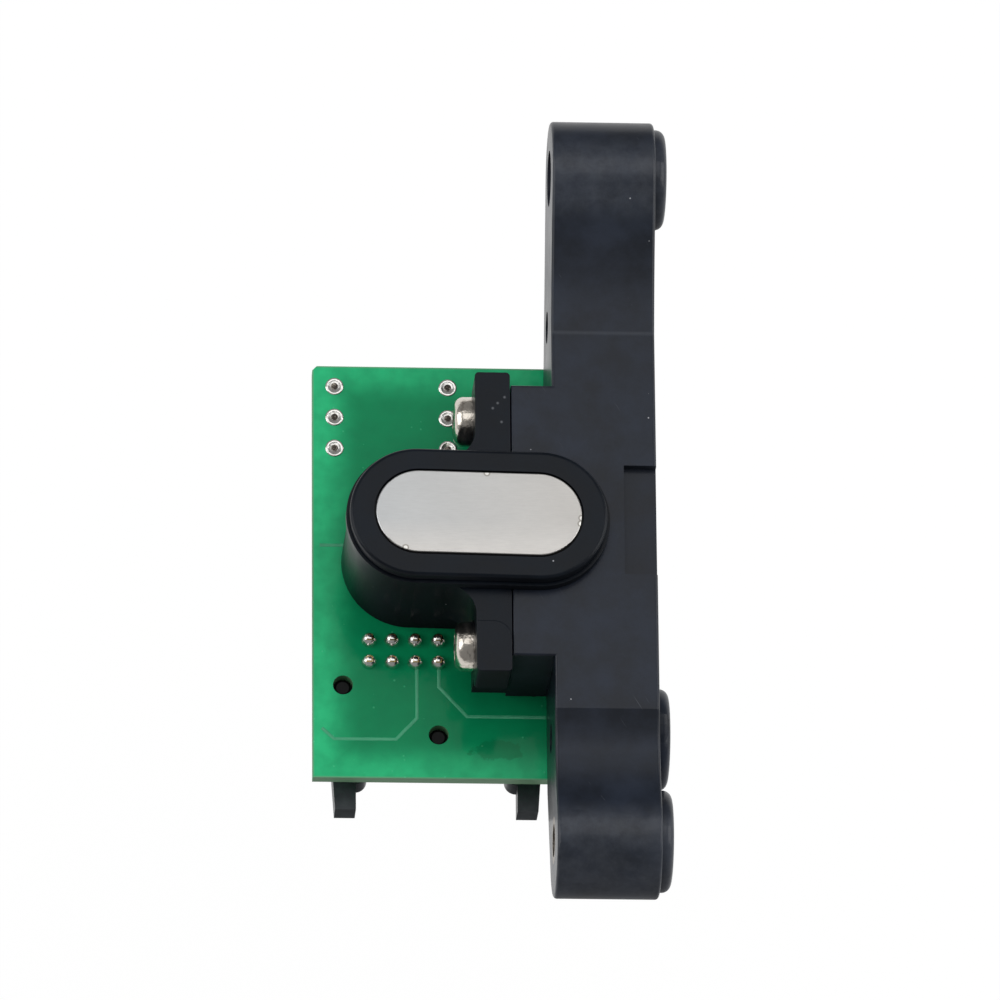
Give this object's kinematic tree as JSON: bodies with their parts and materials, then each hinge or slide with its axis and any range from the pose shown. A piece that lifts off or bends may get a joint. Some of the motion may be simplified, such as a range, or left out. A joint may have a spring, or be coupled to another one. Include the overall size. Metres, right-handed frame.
{
  "type": "spindle encoder sensor head",
  "caption": "Magnetic pick-up head with a steel sensing face, on a bolted side flange, with its signal board and latched connector.",
  "frame": {"origin": "on the upper bolt hole's axis, in the plane on which the three bosses seat", "axes": "+X out of the seat along the bolt holes, +Y towards the upper arm, +Z out of the sensing face"},
  "size_m": [0.0384, 0.0883, 0.0299],
  "materials": {
    "body_moulding": "fine moulded texture, charcoal black",
    "head_moulding": "smooth moulded black",
    "stainless_steel": "fine satin, rounded edge",
    "nickel_steel": "nickel plated, with locking varnish",
    "zinc_steel": "zinc plated",
    "brass": "turned",
    "green_laminate": "green solder mask over glass laminate",
    "solder": "bright tin",
    "tinned_copper": "tinned",
    "filter_case": "dipped epoxy",
    "connector_moulding": "glass filled moulding",
    "gilt_contact": "thin gold plate",
    "latch_moulding": "smooth moulded black",
    "chip_ceramic": "plain",
    "element_laminate": "green laminate",
    "magnet": "sintered",
    "carrier_moulding": "moulded",
    "potting_resin": "cast",
    "chip_package": "moulded epoxy, unmarked",
    "capacitor_case": "moulded",
    "capacitor_ceramic": "plain",
    "resistor_body": "glazed"
  },
  "bodies": {
    "head": {"mounting_body": "body_moulding", "lower_sleeve": "zinc_steel", "sensor_housing": "head_moulding", "face_plate": "stainless_steel", "head_screws": "nickel_steel", "threaded_inserts": "brass", "circuit_board": "green_laminate", "board_screws": "zinc_steel", "solder_joints": "solder", "noise_filters": "filter_case", "filter_leads": "tinned_copper", "connector_shell": "connector_moulding", "far_contacts": "gilt_contact", "near_contacts": "gilt_contact", "sensing_chip": "chip_ceramic", "element_board": "element_laminate", "bias_magnet": "magnet", "element_carrier": "carrier_moulding", "potting_fill": "potting_resin", "element_leads": "tinned_copper", "amplifier_chip": "chip_package", "line_driver_chip": "chip_package", "chip_legs": "tinned_copper", "smoothing_capacitor": "capacitor_case", "ceramic_capacitors": "capacitor_ceramic", "resistors": "resistor_body"},
    "left_latch": {"left_latch": "latch_moulding"},
    "right_latch": {"right_latch": "latch_moulding"}
  },
  "joints": [
    {"name": "left_latch_swing", "type": "hinge", "parent": "head", "child": "left_latch", "pos_m": [-0.03466, -0.05715, -0.0192], "axis": [0, 0, -1], "range_deg": [0, 30]},
    {"name": "right_latch_swing", "type": "hinge", "parent": "head", "child": "right_latch", "pos_m": [-0.01446, -0.05715, -0.0192], "axis": [0, 0, 1], "range_deg": [0, 30]}
  ]
}
